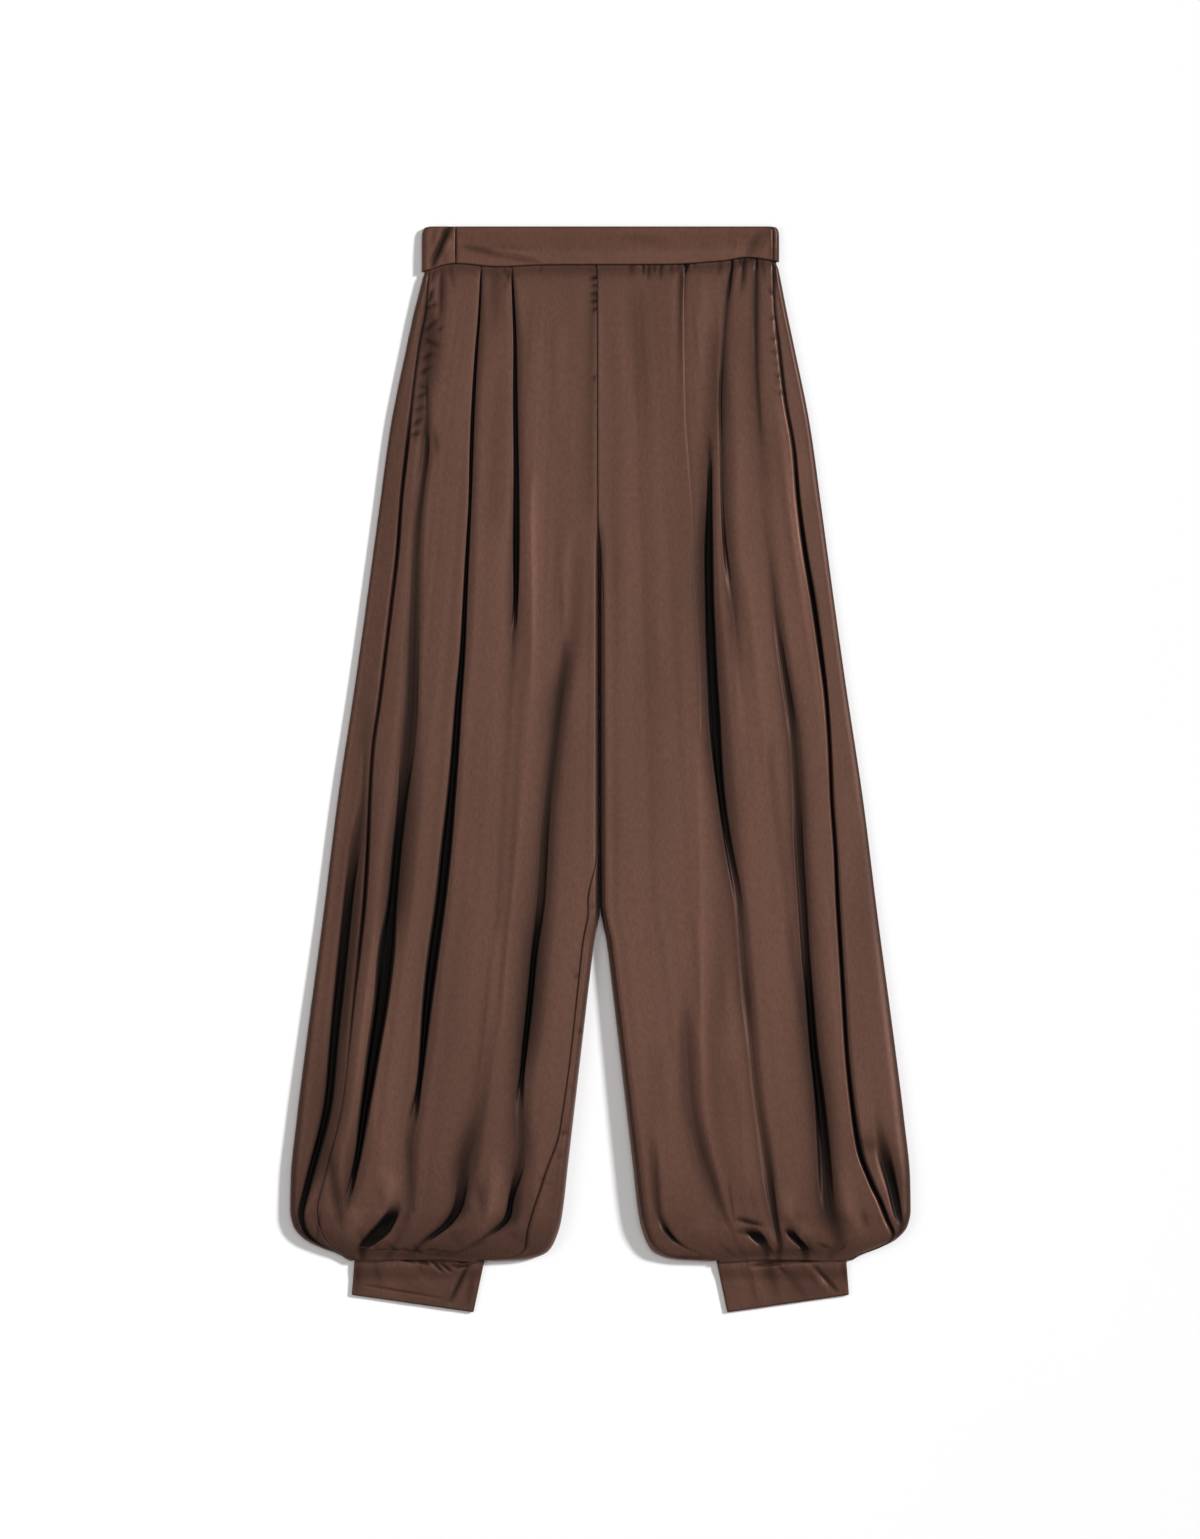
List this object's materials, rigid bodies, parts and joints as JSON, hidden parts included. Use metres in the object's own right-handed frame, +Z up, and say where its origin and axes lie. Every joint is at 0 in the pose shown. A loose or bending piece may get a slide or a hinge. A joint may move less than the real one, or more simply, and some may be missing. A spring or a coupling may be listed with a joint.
{
  "type": "balloon wide-leg trousers laid flat",
  "caption": "Brown satin balloon trousers laid flat, wide pleated legs gathered into ankle cuffs, with a flat-fronted waistband and pockets in the side seams",
  "frame": {"origin": "on the surface under the middle of the garment", "axes": "+Y towards the waistband, +X towards the wearer's left leg, +Z up from the surface, out of the front of the garment"},
  "size_m": [0.621, 1.087, 0.02],
  "materials": {
    "waistband_front": "soft satin with a low sheen",
    "waistband_back": "soft satin with a low sheen",
    "front_right": "soft satin with a low sheen",
    "front_left": "soft satin with a low sheen",
    "back_right": "soft satin with a low sheen",
    "back_left": "soft satin with a low sheen",
    "pocket_right": "plain matt pocketing",
    "pocket_left": "plain matt pocketing",
    "cuff_right": "soft satin with a low sheen",
    "cuff_left": "soft satin with a low sheen"
  },
  "bodies": {
    "root": {"waistband_front": "waistband_front", "waistband_back": "waistband_back", "front_right": "front_right", "front_left": "front_left", "back_right": "back_right", "back_left": "back_left", "pocket_right": "pocket_right", "pocket_left": "pocket_left", "cuff_right": "cuff_right", "cuff_left": "cuff_left"}
  },
  "joints": []
}
